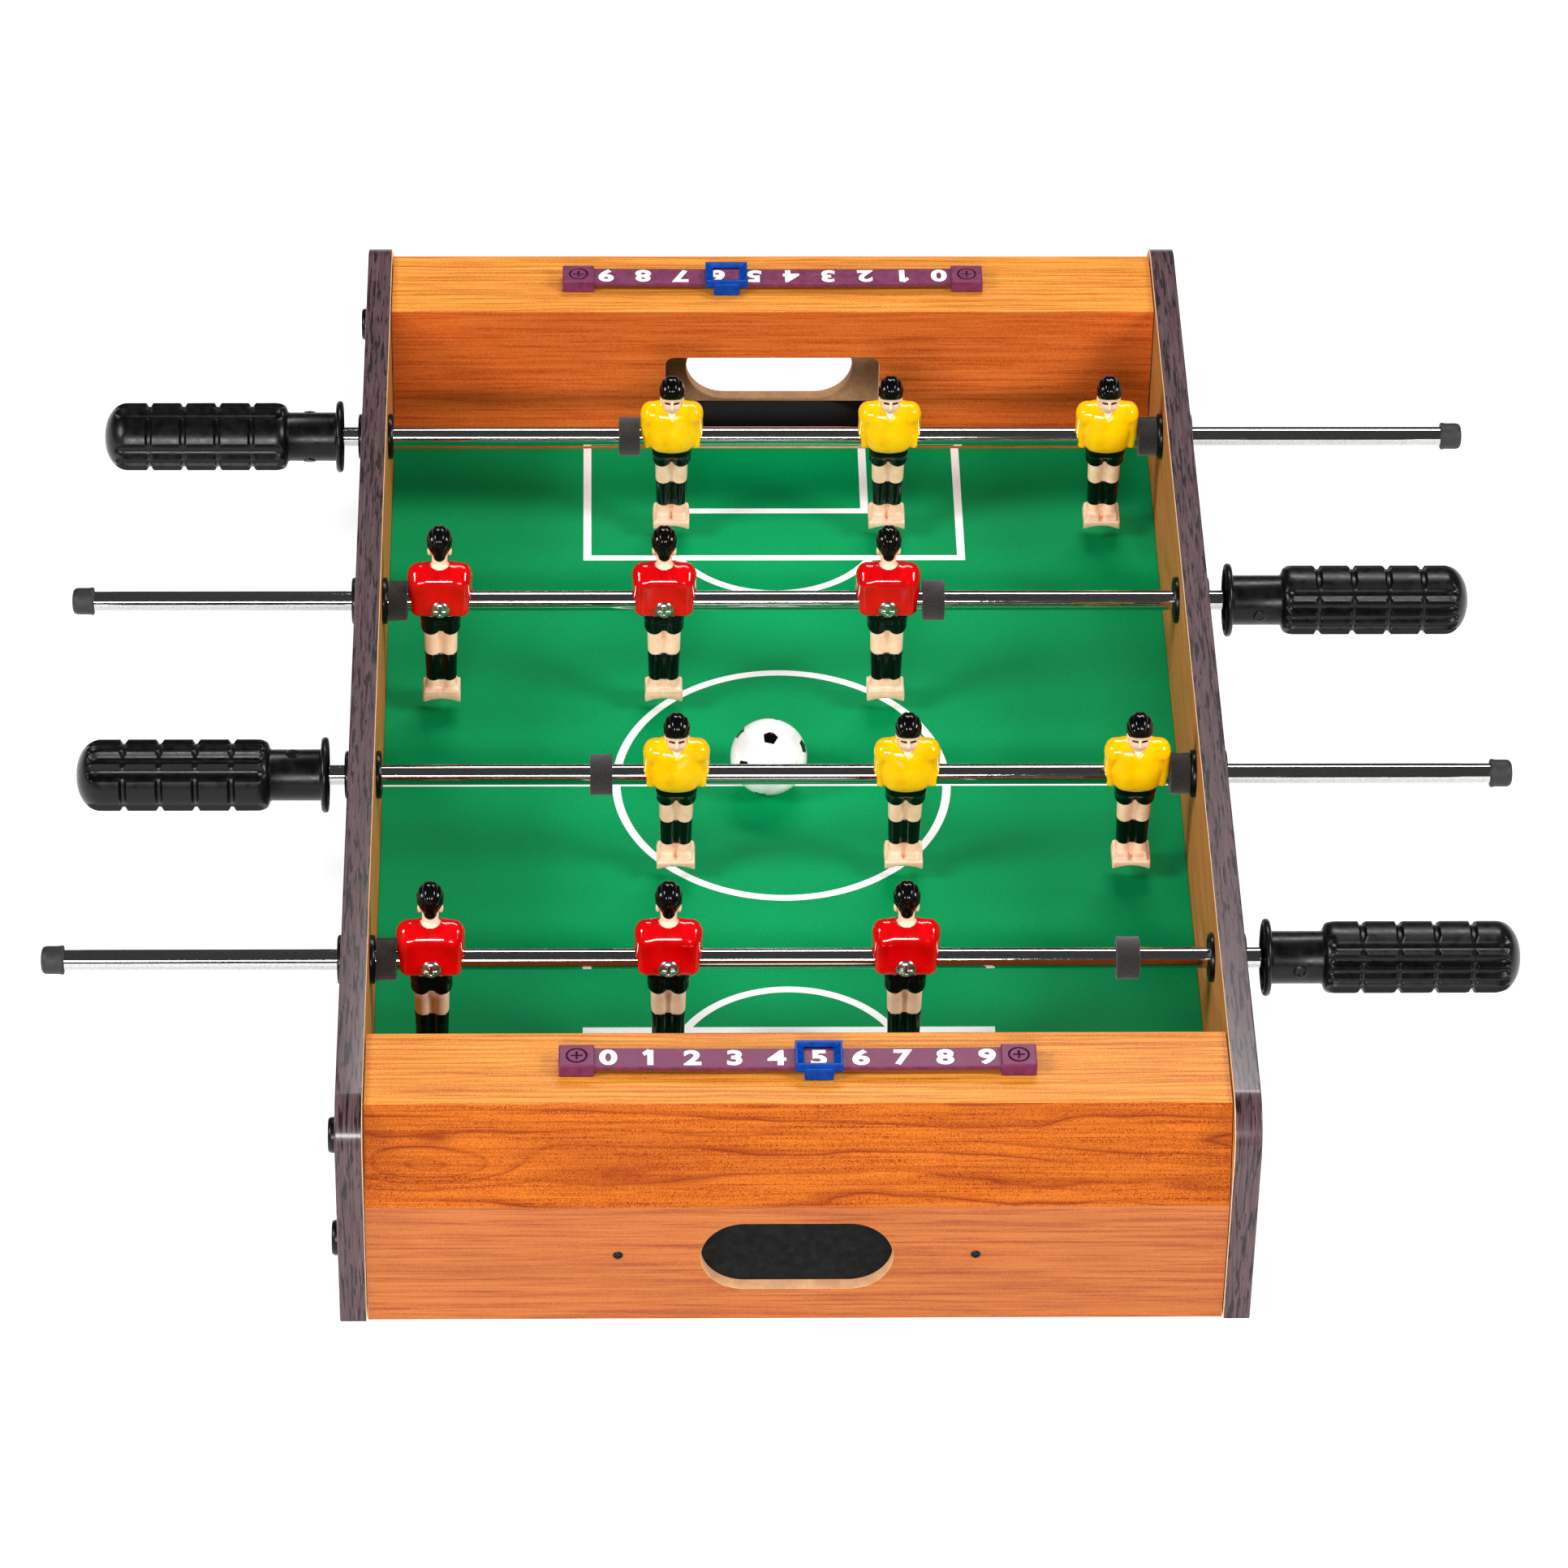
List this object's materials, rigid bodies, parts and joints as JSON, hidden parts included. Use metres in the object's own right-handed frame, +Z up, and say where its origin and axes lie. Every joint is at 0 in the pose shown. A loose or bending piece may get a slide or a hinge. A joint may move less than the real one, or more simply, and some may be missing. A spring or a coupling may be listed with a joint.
{
  "type": "tabletop foosball table",
  "caption": "Small tabletop football game: a wooden box pitch with sliding, spinning rods of kicking men, goals with ball return trays, score counters and a ball.",
  "frame": {"origin": "on the ground under the centre of the cabinet, which is the bottom centre of the whole object's box", "axes": "+Z up; +X along the rods, to the right of a player who sits at the near end; +Y from the near goal to the far goal"},
  "size_m": [0.5178, 0.51, 0.1019],
  "materials": {
    "side_panel": "satin",
    "end_board": "satin",
    "playfield": "matte",
    "ball_tray": "matte",
    "score_bar": "satin",
    "score_slider": "gloss",
    "black_plastic": "satin",
    "foam": "matte",
    "rod": "polished",
    "handle": "satin",
    "end_cap": "matte",
    "man_yellow": "gloss",
    "man_red": "gloss",
    "ball": "gloss"
  },
  "bodies": {
    "cabinet": {"side_panel_left": "side_panel", "side_panel_right": "side_panel", "end_board_near": "end_board", "end_board_far": "end_board", "playfield": "playfield", "ball_tray_near": "ball_tray", "ball_tray_far": "ball_tray", "screw_cap_near_upper": "black_plastic", "screw_cap_near_lower": "black_plastic", "screw_cap_far_upper": "black_plastic", "screw_cap_far_lower": "black_plastic", "score_bar_near": "score_bar", "score_bar_far": "score_bar", "bushing_1_left": "black_plastic", "bushing_1_right": "black_plastic", "bushing_2_left": "black_plastic", "bushing_2_right": "black_plastic", "bushing_3_left": "black_plastic", "bushing_3_right": "black_plastic", "bushing_4_left": "black_plastic", "bushing_4_right": "black_plastic"},
    "bumper_pair_1": {"bumper_1_cap_side": "foam", "bumper_1_handle_side": "foam"},
    "rod_assembly_1": {"rod_1": "rod", "handle_1": "handle", "end_cap_1": "end_cap", "man_1_left": "man_yellow", "man_1_middle": "man_yellow", "man_1_right": "man_yellow"},
    "bumper_pair_2": {"bumper_2_cap_side": "foam", "bumper_2_handle_side": "foam"},
    "rod_assembly_2": {"rod_2": "rod", "handle_2": "handle", "end_cap_2": "end_cap", "man_2_left": "man_red", "man_2_middle": "man_red", "man_2_right": "man_red"},
    "bumper_pair_3": {"bumper_3_cap_side": "foam", "bumper_3_handle_side": "foam"},
    "rod_assembly_3": {"rod_3": "rod", "handle_3": "handle", "end_cap_3": "end_cap", "man_3_left": "man_yellow", "man_3_middle": "man_yellow", "man_3_right": "man_yellow"},
    "bumper_pair_4": {"bumper_4_cap_side": "foam", "bumper_4_handle_side": "foam"},
    "rod_assembly_4": {"rod_4": "rod", "handle_4": "handle", "end_cap_4": "end_cap", "man_4_left": "man_red", "man_4_middle": "man_red", "man_4_right": "man_red"},
    "score_slider_near": {"score_slider_near": "score_slider"},
    "score_slider_far": {"score_slider_far": "score_slider"},
    "ball": {"ball": "ball"}
  },
  "joints": [
    {"name": "rod_1_slide", "type": "slide", "parent": "cabinet", "child": "bumper_pair_1", "axis": [1, 0, 0], "range_m": [-0.0845, 0]},
    {"name": "rod_1_spin", "type": "hinge", "parent": "bumper_pair_1", "child": "rod_assembly_1", "pos_m": [0, 0.14925, 0.071], "axis": [1, 0, 0], "continuous": true},
    {"name": "rod_2_slide", "type": "slide", "parent": "cabinet", "child": "bumper_pair_2", "axis": [1, 0, 0], "range_m": [0, 0.0837]},
    {"name": "rod_2_spin", "type": "hinge", "parent": "bumper_pair_2", "child": "rod_assembly_2", "pos_m": [0, 0.04975, 0.071], "axis": [1, 0, 0], "continuous": true},
    {"name": "rod_3_slide", "type": "slide", "parent": "cabinet", "child": "bumper_pair_3", "axis": [1, 0, 0], "range_m": [-0.0737, 0]},
    {"name": "rod_3_spin", "type": "hinge", "parent": "bumper_pair_3", "child": "rod_assembly_3", "pos_m": [0, -0.04975, 0.071], "axis": [1, 0, 0], "continuous": true},
    {"name": "rod_4_slide", "type": "slide", "parent": "cabinet", "child": "bumper_pair_4", "axis": [1, 0, 0], "range_m": [0, 0.0236]},
    {"name": "rod_4_spin", "type": "hinge", "parent": "bumper_pair_4", "child": "rod_assembly_4", "pos_m": [0, -0.14925, 0.071], "axis": [1, 0, 0], "continuous": true},
    {"name": "score_near_slide", "type": "slide", "parent": "cabinet", "child": "score_slider_near", "axis": [1, 0, 0], "range_m": [-0.06717, 0.05302]},
    {"name": "score_far_slide", "type": "slide", "parent": "cabinet", "child": "score_slider_far", "axis": [1, 0, 0], "range_m": [-0.04241, 0.07779]},
    {"name": "ball_lift", "type": "slide", "parent": "cabinet", "child": "ball", "axis": [0, 0, 1], "range_m": [0, 0.09]}
  ]
}
